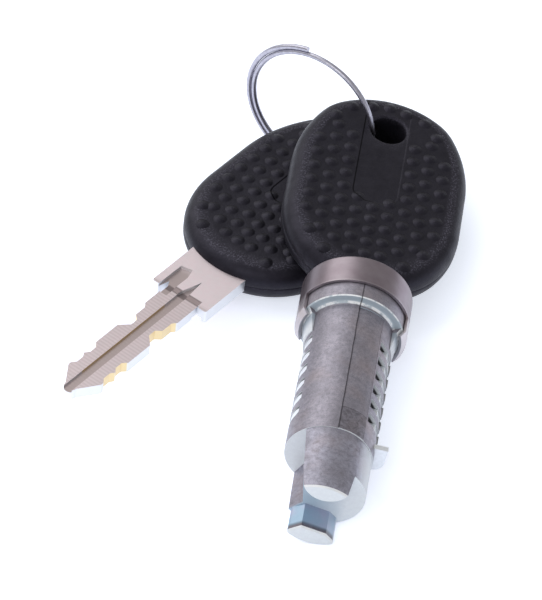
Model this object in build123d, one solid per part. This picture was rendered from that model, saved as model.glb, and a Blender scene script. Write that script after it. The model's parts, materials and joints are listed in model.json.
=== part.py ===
from build123d import *
from math import atan2, cos, degrees, radians, sin
import os

os.makedirs("parts", exist_ok=True)

# A wafer lock cylinder with one key pushed home, and a spare key on the same spring-wire ring.
# The lock is drawn about its own axis, with the tail towards -Y and the key's width along X.
# Depths are counted from the outer face of the face cap towards the tail.
# At the end everything is turned to lie as it rests: rolled onto the spare key, tail down.

# Plug casting
barrel_dia = 16.74
barrel_start = 10.2
barrel_end = 43.1
flange_dia = 20.5
flange_chamfer = 0.2
root_fillet = 0.8
lug_angle = 52.0
lug_root_dia = 18.5
lug_end = 15.6
lug_tip_dia = 17.1
seam_angle = 89.0
seam_shift = 0.42
seam_start = 11.0
seam_recess_end_angle = 51.0
seam_fade_angle = 45.0
seam_pad_start = 37.4
seam_pad_rise = 0.12

# Tail of the casting: a shoulder, then two prongs with the drive slot between them
tail_dia = 16.4
tail_end = 52.3
prong_end = 58.1
upper_prong_root = 5.3
upper_prong_tip = 4.4
upper_prong_centre = 8.6
tang_dia = 16.2
tang_top = -3.8
tang_slope = 0.7
tang_half_width = 2.4
tang_bevel_drop = 2.0
tang_bevel_width = 2.3
tang_corner = 0.9
tail_flat_inset = 3.9
tail_flat_lean = 1.0
tail_cut_reach = 12.0
prong_edge = 0.3

# Face cap, pressed from sheet and crimped behind the flange at its two sides
cap_dia = 21.8
cap_wall = 0.5
cap_skirt = 6.7
cap_edge_radius = 0.45
strap_angle = 44.0
strap_bend = 10.4
strap_tip = 11.7
strap_tip_dia = 20.0
cap_slot_corner = 0.4

# Keys
blade_width = 8.2
blade_thickness = 2.4
blade_tip = 44.7
blade_tip_radius = 1.3
tip_taper_start = 39.2
shoulder_depth = 10.2
shoulder_left = 7.1
shoulder_right = 6.4
shoulder_thickness = 2.9
shoulder_ramp_start = 8.7
shoulder_ramp_end = 9.7
tongue_length = 9.0
tongue_corner = 0.5
shoulder_slit = 0.35
groove_width = 2.0
groove_depth = 0.5
groove_start = 4.2
groove_full = 8.6
relief_floor = 0.7
cut_width = 1.8
cut_depths = (0.75, 1.85, 0.0, 0.0, 0.9, 0.75)
ridge_depths = (0.75, 0.9, 0.0, 0.0, 0.15, 0.0)

# Key heads, moulded over the blades
head_start = 1.0
head_length = 53.3
head_width = 35.74
head_thickness = 7.8
head_edge_radius = 3.2
head_near_length = 20.0
head_far_length = 22.0
head_near_corner = 17.0
head_far_corner = 11.0
head_side_turn = 30.0
head_end_turn = 35.0
head_hole_dia = 8.0
head_hole_from_end = 10.1
head_hole_edge = 1.0
parting_groove = 0.25

# Wafers, their springs and the slots that guide them
wafer_count = 6
wafer_first = 17.9
wafer_pitch = 3.75
wafer_thickness = 1.9
wafer_half_height = 3.85
wafer_end_inset = 0.15
wafer_travel = 1.0
wafer_nib_height = 1.3
wafer_nib_rise = 0.25
wing_inner = 3.5
wing_height = 2.25
wing_width = 1.8
wing_root = 0.2
spring_dia = 1.3
spring_wire = 0.24
spring_turns = 4
spring_pocket_floor = -0.6
spring_pocket_fit = 0.1

# Retainer plate, the sprung tab that locks the cylinder in its housing; it stands one pitch behind the last wafer
retainer_thickness = 1.1
retainer_top = 4.9
retainer_tab_top = 2.9
retainer_bottom = -3.0
retainer_reach = 10.6
retainer_shoulder = 5.6
retainer_travel = 2.8
retainer_foot_top = 1.6
retainer_foot_length = 1.6
retainer_head_inner = 2.6
retainer_corner = 2.4
retainer_spring_dia = 2.2
retainer_spring_wire = 0.35
retainer_spring_turns = 5
retainer_spring_floor = -3.6

# Clearances
slide_fit = 0.1
key_fit = 0.1
window_fit = 0.15
seat_gap = 0.1
lug_gap = 0.3
spring_end_gap = 0.02
joint_overlap = 0.5

# Key ring: one loop and a third of spring wire, wound as a flat spiral
ring_wire = 1.1
ring_end_radius = 13.8
ring_turn_growth = 1.17
ring_tip_angle = 94.6
ring_turns = 1.376
ring_heading = -24.4
ring_lean = -4.1

# How the set lies: roll of the lock, and the spare key's hole and the ring's centre from the first key's hole
lock_roll = 13.0
spare_heading = -29.87
spare_pitch = -4.8
spare_roll = 5.13
spare_hole_offset = (-7.87, 0.96, -8.25)
ring_centre_offset = (-15.5, 5.95, 1.82)

# Sizes that follow from the ones above
barrel_r = barrel_dia / 2
flange_r = flange_dia / 2
tail_r = tail_dia / 2
tang_r = tang_dia / 2
cap_r = cap_dia / 2
blade_half = blade_width / 2
blade_face = blade_thickness / 2
shoulder_face = shoulder_thickness / 2
keyway_half = blade_half + key_fit
keyway_face = blade_face + key_fit
keyway_end = blade_tip + 0.6
hole_y = head_start + head_length - head_hole_from_end
head_end = head_start + head_length
wafer_depths = [wafer_first + wafer_pitch * i for i in range(wafer_count)]
retainer_depth = wafer_depths[-1] + wafer_pitch
slot_half = wafer_thickness / 2 + slide_fit
wafer_r = barrel_r - wafer_end_inset
wing_top = wafer_half_height + wing_height
pocket_top = wing_top + slide_fit + spring_pocket_fit
spring_height = (wafer_half_height + slide_fit + pocket_top) / 2
retainer_spring_height = (retainer_foot_top + retainer_top) / 2


def section(depth_from, depth_to, sketch):
    """A solid whose cross-section across the lock's axis is the sketch (X right, Y up)."""
    return extrude(Plane.XZ.offset(depth_from) * sketch, amount=depth_to - depth_from)


def block(x_from, x_to, depth_from, depth_to, z_from, z_to):
    """A box given by its limits, with its place along the axis as depths."""
    size = (x_to - x_from, depth_to - depth_from, z_to - z_from)
    centre = ((x_from + x_to) / 2, -(depth_from + depth_to) / 2, (z_from + z_to) / 2)
    return Pos(*centre) * Box(*size)


def wedge(angle_from, angle_to, radius):
    """A flat sector with its tip on the axis, wide enough to cut a ring of the given radius."""
    reach = 2 * radius
    middle = radians((angle_from + angle_to) / 2)
    start = radians(angle_from)
    end = radians(angle_to)
    corners = [(0, 0), (reach * cos(start), reach * sin(start)), (reach * cos(middle), reach * sin(middle)),
               (reach * cos(end), reach * sin(end))]
    return make_face(Polyline(*corners, close=True))


def ring_sector(inner_r, outer_r, angle_from, angle_to):
    """A flat piece of a ring between two angles."""
    outer = CenterArc((0, 0), outer_r, angle_from, angle_to - angle_from)
    inner = CenterArc((0, 0), inner_r, angle_from, angle_to - angle_from)
    return make_face([outer, inner, Line(outer @ 0, inner @ 0), Line(outer @ 1, inner @ 1)])


def revolved_wedge(profile, angle):
    """A profile in the XY plane turned about the axis, centred on +X."""
    return Rot(0, -angle / 2, 0) * revolve(make_face(Polyline(*profile, close=True)), Axis.Y, revolution_arc=angle)


def flange_and_barrel():
    flange = section(cap_wall + seat_gap, barrel_start, Circle(flange_r))
    rim = flange.edges().filter_by(GeomType.CIRCLE).sort_by(Axis.Y)[0]
    flange = chamfer(rim, flange_chamfer)
    body = flange + section(barrel_start - joint_overlap, barrel_end, Circle(barrel_r))
    roots = [e for e in body.edges().filter_by(GeomType.CIRCLE)
             if abs(e.radius - barrel_r) < 0.01 and abs(e.center().Y + barrel_start) < 0.01]
    body = fillet(roots, root_fillet)
    face_r = flange_r - flange_chamfer
    lug = [(barrel_r - joint_overlap, joint_overlap - barrel_start), (face_r, joint_overlap - barrel_start),
           (face_r, -barrel_start), (lug_root_dia / 2, -strap_tip + lug_gap), (lug_tip_dia / 2, -lug_end),
           (barrel_r - joint_overlap, -lug_end)]
    for side in (0, 180):
        body += Rot(0, side, 0) * revolved_wedge(lug, lug_angle)
    away = radians(seam_fade_angle - 90)
    left_over = Pos(seam_shift * cos(away), seam_shift * sin(away)) * Circle(barrel_r)
    recess = ring_sector(barrel_r - 2 * seam_shift, barrel_r + seam_shift, seam_recess_end_angle, seam_angle) - left_over
    body -= section(seam_start, seam_pad_start, recess)
    pad = ring_sector(barrel_r - joint_overlap, barrel_r + seam_pad_rise, seam_recess_end_angle, seam_angle)
    return body + section(seam_pad_start, barrel_end, pad)


def tail():
    """The shoulder behind the barrel, cut away on its left, and the two prongs."""
    away = -tail_cut_reach
    near = [(-5.9, 8.4), (-tail_flat_inset, -3.0), (-6.1, -8.2), (away, -8.2), (away, 8.4)]
    far = [(-5.1, 8.4), (tail_flat_lean - tail_flat_inset, -3.8), (-6.6, -8.2), (away, -8.2), (away, 8.4)]
    cut = loft([Plane.XZ.offset(barrel_end - 0.01) * make_face(Polyline(*near, close=True)),
                Plane.XZ.offset(tail_end + 0.01) * make_face(Polyline(*far, close=True))], ruled=True)
    shoulder = section(barrel_end, tail_end, Circle(tail_r)) - cut
    length = prong_end - tail_end
    cone = Pos(0, -(tail_end + length / 2), upper_prong_centre) * Rot(90, 0, 0) * Cone(
        upper_prong_root, upper_prong_tip, length)
    upper = section(tail_end, prong_end, Circle(tail_r)) & cone
    upper = chamfer(upper.faces().sort_by(Axis.Y)[0].edges(), prong_edge)
    left = -tang_half_width
    right = tang_half_width
    out = 2 * tang_bevel_width
    drop = 2 * tang_bevel_drop
    outline = [(left, tang_top), (right, tang_top - tang_slope), (right + out, tang_top - tang_slope - drop),
               (right + out, -2 * tail_r), (left - out, -2 * tail_r), (left - out, tang_top - drop)]
    tang = make_face(Polyline(*outline, close=True)) & Circle(tang_r)
    corners = tang.vertices().sort_by(Axis.X)
    tang = fillet([corners[0], corners[-1]], tang_corner)
    lower = section(tail_end, prong_end, tang)
    lower = chamfer(lower.faces().sort_by(Axis.Y)[0].edges(), prong_edge)
    return shoulder + upper + lower


def wafer_pocket(depth):
    """A guide slot for one wafer, open at both sides, with room for its wing."""
    reach = barrel_r + 1
    low = wafer_half_height + slide_fit
    high = pocket_top
    inner = wing_inner - wafer_travel - slide_fit
    outline = [(-reach, -low), (reach, -low), (reach, high), (inner, high), (inner, low), (-reach, low)]
    return section(depth - slot_half, depth + slot_half, make_face(Polyline(*outline, close=True)))


def spring_bore(dia, x_floor, x_mouth, depth, height):
    """A blind hole along X for a coil spring, opening into the slot beside it."""
    length = x_mouth - x_floor
    bore = Cylinder(dia / 2 + spring_pocket_fit, length)
    return Pos(x_floor + length / 2, -depth, height) * Rot(0, 90, 0) * bore


def retainer_pocket():
    half = retainer_thickness / 2 + slide_fit
    reach = barrel_r + 1
    foot_floor = barrel_r - retainer_foot_length - retainer_travel - slide_fit
    head_floor = retainer_head_inner - retainer_travel - slide_fit
    low = retainer_bottom - slide_fit
    high = retainer_top + slide_fit
    tab_high = retainer_tab_top + slide_fit
    stop = retainer_shoulder + slide_fit
    outline = [(foot_floor, low), (reach, low), (reach, tab_high), (stop, tab_high), (stop, high), (head_floor, high),
               (head_floor, retainer_foot_top), (foot_floor, retainer_foot_top)]
    return section(retainer_depth - half, retainer_depth + half, make_face(Polyline(*outline, close=True)))


def keyway():
    """The blade's passage, with a rib on each face that runs in the blade's groove."""
    passage = section(0, keyway_end, Rectangle(2 * keyway_half, 2 * keyway_face))
    rib_half = groove_width / 2 - 2 * key_fit
    rib_tip = blade_face - groove_depth + key_fit
    for side in (1, -1):
        low, high = sorted((side * rib_tip, side * (keyway_face + 1)))
        passage -= block(-rib_half, rib_half, shoulder_depth + 1, keyway_end, low, high)
    side_room = shoulder_left + 2 * key_fit
    mouth = section(0, shoulder_depth + seat_gap, Rectangle(2 * side_room, shoulder_thickness + 4 * key_fit))
    return passage + mouth


def plug_casting():
    body = flange_and_barrel()
    for depth in wafer_depths:
        body -= wafer_pocket(depth)
        body -= spring_bore(spring_dia, spring_pocket_floor, wing_inner - wafer_travel, depth, spring_height)
    body -= retainer_pocket()
    body -= spring_bore(retainer_spring_dia, retainer_spring_floor, retainer_head_inner, retainer_depth,
                        retainer_spring_height)
    passage = keyway()
    return (body - passage) + (tail() - passage)


def face_cap():
    """Drawn as one turned cup with a bent-in rim; the rim is then cut back to the two side straps."""
    inner_r = cap_r - cap_wall
    tip_r = strap_tip_dia / 2
    bend_slope = (cap_r - tip_r) / (strap_tip - strap_bend)
    cup = [(0, 0), (cap_r, 0), (cap_r, -strap_bend), (tip_r, -strap_tip),
           (tip_r - cap_wall, -strap_tip + cap_wall * bend_slope), (inner_r, -strap_bend + cap_wall / 4),
           (inner_r, -cap_wall), (0, -cap_wall)]
    cap = revolve(make_face(Polyline(*cup, close=True)), Axis.Y)
    front = cap.edges().filter_by(GeomType.CIRCLE).group_by(Axis.Y)[-1].sort_by(SortBy.LENGTH)[-1]
    cap = fillet(front, cap_edge_radius)
    half = strap_angle / 2
    for side in (0, 180):
        cap -= section(cap_skirt, strap_tip + 1, wedge(side + half, side + 180 - half, cap_r))
    slot_half_width = shoulder_left + 3 * key_fit
    slot = RectangleRounded(2 * slot_half_width, shoulder_thickness + 6 * key_fit, cap_slot_corner)
    return cap - section(-1, cap_wall + 1, slot)


def wafer(depth):
    """A plate with a window for the blade, a wing for its spring and a nib at its right end."""
    plate = Circle(wafer_r) & Rectangle(4 * wafer_r, 2 * wafer_half_height)
    wing_low = wafer_half_height - wing_root
    wing = Pos(wing_inner + wing_width / 2, (wing_low + wing_top) / 2) * Rectangle(wing_width, wing_top - wing_low)
    nib_reach = barrel_r + wafer_nib_rise
    nib = Pos(nib_reach - 1, 0) * Rectangle(2, wafer_nib_height)
    left = -blade_half - window_fit
    right = blade_half + window_fit + wafer_travel
    window = Pos((left + right) / 2, 0) * Rectangle(right - left, 2 * (blade_face + window_fit))
    return section(depth - wafer_thickness / 2, depth + wafer_thickness / 2, plate + wing + nib - window)


def coil(dia, wire, turns, x_from, x_to, depth, height):
    """A compression spring along X that fills the length between two faces."""
    length = x_to - x_from - wire - 2 * spring_end_gap
    path = Helix(length / turns, length, (dia - wire) / 2)
    profile = Plane(path @ 0, z_dir=path % 0) * RegularPolygon(wire / 2, 6)
    spring = sweep(profile, path=path, is_frenet=True)
    return Pos(x_from + wire / 2 + spring_end_gap, -depth, height) * Rot(0, 90, 0) * spring


def wafer_spring(depth):
    return coil(spring_dia, spring_wire, spring_turns, spring_pocket_floor, wing_inner, depth, spring_height)


def retainer_plate():
    """The tab: a foot that stays clear of the blade's tip, and a head pushed outwards by its spring."""
    foot_inner = barrel_r - retainer_foot_length
    outline = [(retainer_head_inner, retainer_top), (retainer_shoulder, retainer_top),
               (retainer_shoulder, retainer_tab_top), (retainer_reach, retainer_tab_top),
               (retainer_reach, retainer_bottom), (foot_inner, retainer_bottom),
               (foot_inner, retainer_foot_top + slide_fit), (retainer_head_inner, retainer_foot_top + slide_fit)]
    face = make_face(Polyline(*outline, close=True))
    outer = face.vertices().sort_by(Axis.X)[-2:].sort_by(Axis.Y)
    face = fillet(outer[0], retainer_corner)
    face = fillet(face.vertices().sort_by(Axis.X)[-1], retainer_corner / 5)
    half = retainer_thickness / 2
    return section(retainer_depth - half, retainer_depth + half, face)


def retainer_spring():
    return coil(retainer_spring_dia, retainer_spring_wire, retainer_spring_turns, retainer_spring_floor,
                retainer_head_inner, retainer_depth, retainer_spring_height)


def blade_edge():
    """Half of the blade's outline, from the shoulder to the tip: a flat at each wafer and a ridge midway to the next."""
    points = [(blade_half, joint_overlap - shoulder_depth), (blade_half, wafer_pitch / 2 - wafer_first)]
    for depth, cut, ridge in zip(wafer_depths, cut_depths, ridge_depths):
        points.append((blade_half - cut, -depth + cut_width / 2))
        points.append((blade_half - cut, -depth - cut_width / 2))
        points.append((blade_half - ridge, -depth - wafer_pitch / 2))
    points.append((blade_half, -tip_taper_start))
    points.append((blade_tip_radius, -blade_tip + blade_tip_radius))
    return points


def blade_outline():
    edge = blade_edge()
    mirrored = [(-x, y) for x, y in reversed(edge)]
    tip = (0, -blade_tip)
    line = Polyline(*edge) + ThreePointArc(edge[-1], tip, mirrored[0]) + Polyline(*mirrored)
    line += Line(mirrored[-1], edge[0])
    return make_face(line)


def key_blade():
    """Blade, shoulder block and the tongue that the head is moulded over."""
    plate = Pos(0, 0, -blade_face) * extrude(blade_outline(), amount=blade_thickness)
    back = head_start + tongue_length
    tongue = block(-shoulder_left, shoulder_right, -back, shoulder_depth, -shoulder_face, shoulder_face)
    corners = tongue.edges().filter_by(Axis.Z).group_by(Axis.Y)[0]
    tongue = fillet(corners, tongue_corner)
    key = tongue + plate
    ramp = [(-shoulder_ramp_start, shoulder_face + 0.01), (-shoulder_ramp_end, blade_face),
            (-shoulder_depth - 1, blade_face), (-shoulder_depth - 1, shoulder_face + 0.01)]
    milled = extrude(Plane.YZ.offset(-blade_half) * make_face(Polyline(*ramp, close=True)), amount=2 * blade_half)
    slit = block(blade_half, blade_half + shoulder_slit, shoulder_ramp_end, shoulder_depth + 1, -2, 2)
    relief_face = make_face(Polyline((-5.5, -shoulder_depth - 0.1), (-5.4, -3.2), (-2.9, -2.7), (-2.3, -5.1),
                                     (-2.4, -shoulder_depth - 1.4), (-blade_half - 0.1, -shoulder_depth - 1.4),
                                     (-blade_half - 0.1, -shoulder_depth - 0.1), close=True))
    relief = Pos(0, 0, relief_floor) * extrude(relief_face, amount=2)
    notch = make_face(Polyline((-5.5, -shoulder_depth - 0.1), (-4.8, -shoulder_depth + 2.6),
                               (-blade_half, -shoulder_depth + 1.2), (-blade_half, -shoulder_depth - 0.1),
                               close=True))
    notch = Pos(0, 0, -2) * extrude(notch, amount=4)
    groove_half = groove_width / 2
    groove_face = make_face(Polyline((0.6, -groove_start), (groove_half, -groove_full), (groove_half, -blade_tip - 1),
                                     (-groove_half, -blade_tip - 1), (-groove_half, -groove_full - 0.8),
                                     close=True))
    groove = Pos(0, 0, blade_face - groove_depth) * extrude(groove_face, amount=2)
    for turn in (0, 180):
        key -= Rot(0, turn, 0) * milled
        key -= Rot(0, turn, 0) * relief
        key -= Rot(0, turn, 0) * groove
    return key - slit - notch


def end_radii(half, length, corner):
    """Side and end radii that join a straight side to the middle of a rounded end through a corner arc."""
    side = radians(head_side_turn)
    end = radians(head_end_turn)
    across = half - corner * (cos(side) - sin(end))
    along = length - corner * (cos(end) - sin(side))
    scale = (1 - cos(side)) * (1 - cos(end)) - sin(side) * sin(end)
    side_r = (across * (1 - cos(end)) - along * sin(end)) / scale
    end_r = (along * (1 - cos(side)) - across * sin(side)) / scale
    return side_r, end_r


def rounded_end(start, length, corner, facing):
    """Three tangent arcs from the right side to the middle of an end; facing is +1 far or -1 near."""
    side_r, end_r = end_radii(start[0], length, corner)
    middle_turn = 90 - head_side_turn - head_end_turn
    first = JernArc(start, (0, facing), side_r, facing * head_side_turn)
    second = JernArc(first @ 1, first % 1, corner, facing * middle_turn)
    third = JernArc(second @ 1, second % 1, end_r, facing * head_end_turn)
    return first + second + third


def head_outline(inset=0.0):
    """Seen from above: round at the blade, straight sides, and a fuller curve at the far end."""
    half = head_width / 2 - inset
    near_y = head_start + head_near_length
    far_y = head_end - head_far_length
    near = rounded_end((half, near_y), head_near_length - inset, head_near_corner - inset, -1)
    far = rounded_end((half, far_y), head_far_length - inset, head_far_corner - inset, 1)
    right = near + Line((half, near_y), (half, far_y)) + far
    return make_face(right + mirror(right, Plane.YZ))


def key_head():
    """The moulded head with its ring hole, a groove along its parting line and the pocket for the tongue."""
    head = Pos(0, 0, -head_thickness / 2) * extrude(head_outline(), amount=head_thickness)
    rims = head.faces().filter_by(Axis.Z).edges()
    head = fillet(rims, head_edge_radius)
    half = parting_groove / 2
    band = Pos(0, 0, -half) * extrude(head_outline() - head_outline(parting_groove), amount=parting_groove)
    head -= band
    hole = Pos(0, hole_y, 0) * Cylinder(head_hole_dia / 2, 2 * head_thickness)
    head -= hole
    mouths = [e for e in head.edges().filter_by(GeomType.CIRCLE) if abs(e.radius - head_hole_dia / 2) < 0.01]
    head = fillet(mouths, head_hole_edge)
    back = head_start + tongue_length
    pocket = block(-shoulder_left, shoulder_right, -back, shoulder_depth, -shoulder_face, shoulder_face)
    return head - pocket


def lie(shape):
    """Turn a piece of the lock, drawn about its own axis, to the way the set rests."""
    return rest_turn * shape


def lie_spare(shape):
    """Put a piece of the spare key at its own place beside the lock."""
    return spare_place * shape


# The cap's rear rim and the lower prong both touch the surface, which raises the nose by this angle
nose_up = degrees(atan2(cap_r - tang_r, prong_end - cap_skirt))
rest_turn = Rot(nose_up, 0, 0) * Rot(0, lock_roll, 0)
first_hole = (rest_turn * Pos(0, hole_y, 0)).position
tilt = Rot(nose_up, 0, 0)
spare_turn = tilt * Rot(0, 0, spare_heading) * Rot(spare_pitch, 0, 0) * Rot(0, spare_roll, 0)
spare_hole = first_hole + (tilt * Pos(*spare_hole_offset)).position
spare_place = Pos(*spare_hole) * spare_turn * Pos(0, -hole_y, 0)
ring_centre = first_hole + (tilt * Pos(*ring_centre_offset)).position
ring_turn = Rot(0, 0, ring_heading) * Rot(90 + ring_lean, 0, 0) * Rot(0, 0, ring_tip_angle)
ring_place = Pos(*ring_centre) * tilt * ring_turn


def key_ring():
    """The wire, wound inwards from its free tip in quarter turns, each tighter than the one before."""
    turns_left = ring_turns
    radius = ring_end_radius + ring_turn_growth * (ring_turns - 1 / 8)
    corner = ring_end_radius + ring_turn_growth * ring_turns
    quarter = JernArc((corner, 0), (0, 1), radius, 90)
    path = quarter
    turns_left -= 1 / 4
    while turns_left > 0.01:
        radius -= ring_turn_growth / 4
        quarter = JernArc(quarter @ 1, quarter % 1, radius, 360 * min(turns_left, 1 / 4))
        path += quarter
        turns_left -= 1 / 4
    profile = Plane(path @ 0, z_dir=path % 0) * Circle(ring_wire / 2)
    return sweep(profile, path=path)


parts = {}
parts["plug_casting"] = lie(plug_casting())
parts["face_cap"] = lie(face_cap())
for number, depth in enumerate(wafer_depths, start=1):
    parts[f"wafer_{number}"] = lie(wafer(depth))
    parts[f"wafer_spring_{number}"] = lie(wafer_spring(depth))
parts["retainer_plate"] = lie(retainer_plate())
parts["retainer_spring"] = lie(retainer_spring())
parts["key_blade"] = lie(key_blade())
parts["key_head"] = lie(key_head())
parts["spare_key_blade"] = lie_spare(key_blade())
parts["spare_key_head"] = lie_spare(key_head())
parts["key_ring"] = ring_place * key_ring()

for name, shape in parts.items():
    export_step(shape, f"parts/{name}.step")
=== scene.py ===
import json
import math

import bpy
import numpy as np
from bpy.props import FloatProperty, FloatVectorProperty, PointerProperty
from mathutils import Matrix, Vector


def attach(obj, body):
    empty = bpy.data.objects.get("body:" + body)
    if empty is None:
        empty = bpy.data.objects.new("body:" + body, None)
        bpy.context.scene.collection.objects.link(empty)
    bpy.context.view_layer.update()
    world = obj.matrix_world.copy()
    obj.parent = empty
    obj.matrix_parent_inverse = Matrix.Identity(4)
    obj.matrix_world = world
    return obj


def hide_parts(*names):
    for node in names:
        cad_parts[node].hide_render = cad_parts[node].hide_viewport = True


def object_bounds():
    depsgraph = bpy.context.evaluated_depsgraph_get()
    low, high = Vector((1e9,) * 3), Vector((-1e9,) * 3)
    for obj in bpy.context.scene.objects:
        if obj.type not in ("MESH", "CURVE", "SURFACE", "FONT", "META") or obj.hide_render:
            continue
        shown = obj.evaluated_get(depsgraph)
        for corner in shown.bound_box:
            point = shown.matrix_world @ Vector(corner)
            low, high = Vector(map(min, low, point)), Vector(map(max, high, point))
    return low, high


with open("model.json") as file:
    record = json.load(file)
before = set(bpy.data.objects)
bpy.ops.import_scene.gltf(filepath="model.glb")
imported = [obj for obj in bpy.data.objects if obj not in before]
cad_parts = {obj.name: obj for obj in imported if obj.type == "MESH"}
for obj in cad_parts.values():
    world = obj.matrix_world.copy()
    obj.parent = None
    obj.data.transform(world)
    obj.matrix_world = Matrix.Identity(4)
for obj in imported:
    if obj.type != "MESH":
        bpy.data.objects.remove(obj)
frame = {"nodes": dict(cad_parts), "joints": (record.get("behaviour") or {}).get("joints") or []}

bl_info = {
    "name": "Lock Cylinder And Keys",
    "version": (1, 0, 0),
    "blender": (4, 5, 0),
    "location": "View3D > Sidebar > Lock",
    "description": "Finishes a wafer lock cylinder with two keys on a wire ring, and sets it on a pale table",
    "category": "Object",
}

CAD_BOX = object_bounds()
MM = 0.001

# The stage: the picture's pixels, the brightness of the room and the table, the table's gap below the set in mm and
# its reach in metres, and each lamp's name, place and size in metres, and power in watts
PICTURE = (542, 600)
ROOM_LIGHT = 0.48
TABLE_GLOW = 0.64
TABLE_GAP = 0.02
TABLE_REACH = 3.0
LAMPS = (("soft_lamp_back", (-0.7, 0.5, 1.0), 1.4, 9.0), ("soft_lamp_front", (-0.3, -1.0, 0.9), 0.8, 4.0))

# Places on the lock and the key in its own frame, in mm. Depths are counted from the cap's face towards the tail,
# radii from the axis, sides along X and heights along Z. Each pair is a low and a high end.
FLANGE_BACK_DEPTHS = (9.0, 12.5)
LUG_DEPTHS = (11.4, 15.8)
LUG_RADII = (8.5, 12.0)
SLOT_DEPTHS = (12.5, 42.9)
SLOT_WALL_RADII = (-1.0, 7.6)
SEAM_PLACE = 0.15
SEAM_WANDER = 0.15
SEAM_LINE = (-0.07, 0.07)
SEAM_DEPTHS = (-1.0, 43.0)
UPPER_HALF = (1.0, 30.0)
PAD_DEPTHS = (37.4, 43.0)
PAD_START = (37.35, 37.45)
PAD_REACH = 5.2
PAD_HEIGHTS = (5.5, 30.0)
TAIL_DEPTHS = (43.2, 70.0)
DRIVE_FLOOR_DEPTHS = (51.9, 52.7)
DRIVE_FLOOR_SIDES = (-9.0, -1.0)
PRONG_DEPTHS = (52.4, 56.9)
PRONG_RIM_DEPTHS = (57.0, 57.8)
LOWER_PRONG = (-30.0, -3.0)
STRAP_DEPTHS = (7.5, 14.0)
MILLED_DEPTHS = (9.0, 10.0)
MILLED_FACE = (0.85, 1.0)
STEP_DEPTHS = (8.65, 9.75)
BLADE_SIDES = (-4.1, 4.1)
BITTED_DEPTHS = (14.0, 38.5)
CUT_SIDE = (3.85, 4.0)
TIP_REACH = 0.2

# The wafers along the blade, their wings and right ends, and the bright oval on their left ends, outside which
# painted shade falls, in mm
WAFER_FIRST = 17.9
WAFER_PITCH = 3.75
WAFER_WING = (3.8, 4.2)
WAFER_LEFT_END = (-9.0, -7.0)
WAFER_RIGHT_END = (7.4, 8.9)
WAFER_DEPTHS = (0.0, 39.0)
WAFER_BRIGHT_HALF = (1.0, 3.5)
WAFER_BRIGHT_RISE = 0.8

# The dots' pattern on the heads, in mm from the key's stop, with values by the column's place from the middle
# outwards, and the step round the plain panel with its line of painted shade, in mm from its border
PATTERN_SHIFT = -0.4
COLUMN_START = (8.2, 8.4, 10.6, 12.5, 13.2)
COLUMN_PITCH = (3.25, 3.7, 3.73, 3.75, 4.06)
COLUMN_DOTS = 10
COLUMN_END = 43.0
COLUMN_RIM_ROOM = 4.1
RIM_ROOM = 3.0
HOLE_ROOM = 1.6
PANEL_ROOM = (0.6, 0.8)
PANEL_END = 4.0
PANEL_STEP = (-0.15, 0.15)
PANEL_LINE = (-0.06, 0.06)
PANEL_LINE_FADE = (-2.0, -0.5)
FAR_ROW_TURNS = (5, 30, 58, 90, 122, 150, 175)
FAR_ROW_REACH = (6.3, 4.2)
NEAR_ROW_SIDES = (-11.4, -8.0, 8.0, 11.4)
NEAR_ROW_CURVE = (2.9, 0.065)

# The heads' surfaces: spacing of outline points in mm, and rows of points on each stretch of the section
OUTLINE_STEP = 0.7
HOLE_ROWS = 4
MOUTH_ROWS = 7
FACE_ROWS = 16
RIM_ROWS = 12

# The parting line's dip: a unit in mm, and the section from its rim to its middle, inwards and up, in that unit
PARTING_LIP = 0.12
PARTING_DIP = ((0.0, 2.0), (0.3, 1.0), (1.4, 0.0))

# Wear from 0 to 1 at the hole's mouths, at the parting line and on the dots' tops, and the angle at which the rim is
# worn most with the width of that wear, in radians
MOUTH_WEAR = 0.3
PARTING_WEAR = 0.2
DOT_WEAR = 0.25
RIM_WEAR = (0.15, 0.25)

# One dot: its rings as shares of its radius, the corners of a ring, how steeply it falls, and its foot's depth in mm
DOT_RINGS = (0.15, 0.3, 0.45, 0.6, 0.74, 0.87, 1.0)
DOT_CORNERS = 14
DOT_FALL = 1.2
DOT_FOOT = 0.03


def linear(hex_colour):
    """The linear values of an sRGB colour written as a hex string."""
    parts = [int(hex_colour[i:i + 2], 16) / 255 for i in (1, 3, 5)]
    return [c / 12.92 if c <= 0.04045 else ((c + 0.055) / 1.055) ** 2.4 for c in parts] + [1.0]


def grey(level):
    return (level, level, level, 1.0)


def towards_grey(colour, share, level):
    """A colour moved a share of the way to a grey, in linear values."""
    return [part + share * (level - part) for part in colour[:3]] + [1.0]


def colour_property(name, description, hex_colour):
    return FloatVectorProperty(name=name, description=description, subtype="COLOR", size=4, min=0, max=1,
                               default=linear(hex_colour))


def length_property(name, description, millimetres):
    return FloatProperty(name=name, description=description, default=millimetres * MM, unit="LENGTH")


def joint_named(name):
    return next(j for j in frame["joints"] if j["name"] == name)


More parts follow.
